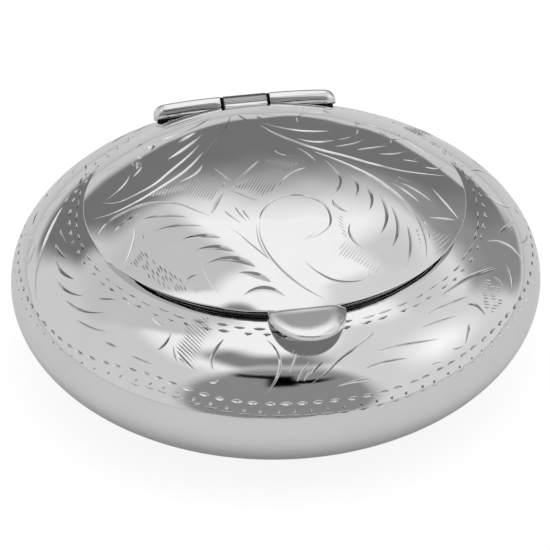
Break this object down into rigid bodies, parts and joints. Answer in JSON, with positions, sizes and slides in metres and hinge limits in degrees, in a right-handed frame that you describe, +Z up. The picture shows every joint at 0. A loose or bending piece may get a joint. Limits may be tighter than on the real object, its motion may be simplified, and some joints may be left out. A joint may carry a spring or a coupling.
{
  "type": "pill box",
  "caption": "Round silver pill box with a squat polished body, a domed engraved lid on a knuckle hinge at the back and a thumb tab at the front.",
  "frame": {"origin": "centre of the flat resting face", "axes": "+Z up, -Y towards the thumb tab (front), +Y towards the hinge (back), +X to the right seen from the front"},
  "size_m": [0.05, 0.05, 0.0197],
  "materials": {
    "body_silver": "polished silver, lightly worn, engraved shoulder",
    "lid_silver": "polished silver, engraved with foliate scrolls",
    "band_silver": "satin silver",
    "hinge_silver": "polished silver with fine wear"
  },
  "bodies": {
    "box_body": {"base_bowl": "body_silver", "shoulder_ring": "body_silver", "rim_bezel": "band_silver", "body_knuckle_left": "hinge_silver", "body_knuckle_right": "hinge_silver", "hinge_pin": "hinge_silver"},
    "lid": {"lid_shell": "lid_silver", "lid_flange": "band_silver", "thumb_tab": "lid_silver", "lid_knuckle": "hinge_silver"}
  },
  "joints": [
    {"name": "lid_hinge", "type": "hinge", "parent": "box_body", "child": "lid", "pos_m": [0, 0.0185, 0.01555], "axis": [-1, 0, 0], "range_deg": [0, 110]}
  ]
}
